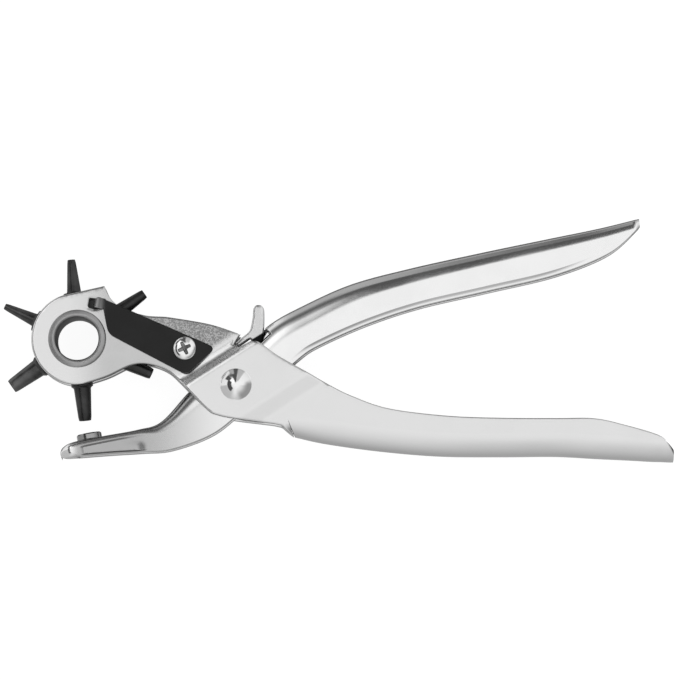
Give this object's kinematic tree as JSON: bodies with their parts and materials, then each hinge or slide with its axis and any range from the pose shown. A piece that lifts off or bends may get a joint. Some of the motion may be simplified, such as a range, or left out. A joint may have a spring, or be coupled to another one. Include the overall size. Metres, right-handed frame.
{
  "type": "rotary hole punch",
  "caption": "Plier-shaped punch for leather with a revolving wheel of hollow punches above a flat anvil, sprung handles and a small locking lever.",
  "frame": {"origin": "pivot axis of the two levers, on the flat rear head of the pivot rivet, which is the plane that the tool lies on", "axes": "+X towards the handles, +Y towards the upper handle and the turret, +Z along the pivot axis to the side with the index spring"},
  "size_m": [0.2205, 0.0804, 0.0209],
  "materials": {
    "plated_steel": "satin nickel plate on pressed sheet, bright on the bends",
    "bright_rivet": "polished nickel plate",
    "anvil_metal": "turned, dull",
    "black_steel": "black oxide, satin",
    "wheel_steel": "turned, blackened",
    "spring_wire": "drawn wire"
  },
  "bodies": {
    "turret_lever": {"turret_lever": "plated_steel", "pivot_rivet": "bright_rivet", "pivot_washer": "bright_rivet", "pivot_sleeve": "bright_rivet", "opening_spring": "spring_wire", "turret_rivet": "bright_rivet", "turret_washer": "bright_rivet", "index_screw": "bright_rivet"},
    "anvil_lever": {"anvil_lever": "plated_steel", "anvil": "anvil_metal", "lock_pin": "bright_rivet"},
    "turret": {"punch_wheel": "wheel_steel", "punch_2_0": "black_steel", "punch_2_5": "black_steel", "punch_3_0": "black_steel", "punch_3_5": "black_steel", "punch_4_0": "black_steel", "punch_4_5": "black_steel"},
    "index_spring": {"index_spring": "black_steel"},
    "lock_lever": {"lock_lever": "plated_steel"}
  },
  "joints": [
    {"name": "handle_squeeze", "type": "hinge", "parent": "turret_lever", "child": "anvil_lever", "pos_m": [0, 0, 0.0102], "axis": [0, 0, -1], "range_deg": [0, 4.8], "stiffness_Nm_per_rad": 2, "springref_deg": -22.92, "deforming": ["opening_spring"]},
    {"name": "turret_spin", "type": "hinge", "parent": "turret_lever", "child": "turret", "pos_m": [-0.0522, 0.0152, 0.0102], "axis": [0, 0, 1], "continuous": true},
    {"name": "index_spring_flex", "type": "hinge", "parent": "turret_lever", "child": "index_spring", "pos_m": [-0.0213, 0.0141, 0.0164], "axis": [0.464, 0.8858, 0], "range_deg": [0, 3.5], "stiffness_Nm_per_rad": 2, "deforming": ["index_spring"]},
    {"name": "lock_pivot", "type": "hinge", "parent": "anvil_lever", "child": "lock_lever", "pos_m": [0.0065, 0.0079, 0.0102], "axis": [0, 0, 1], "range_deg": [-8, 8]}
  ]
}
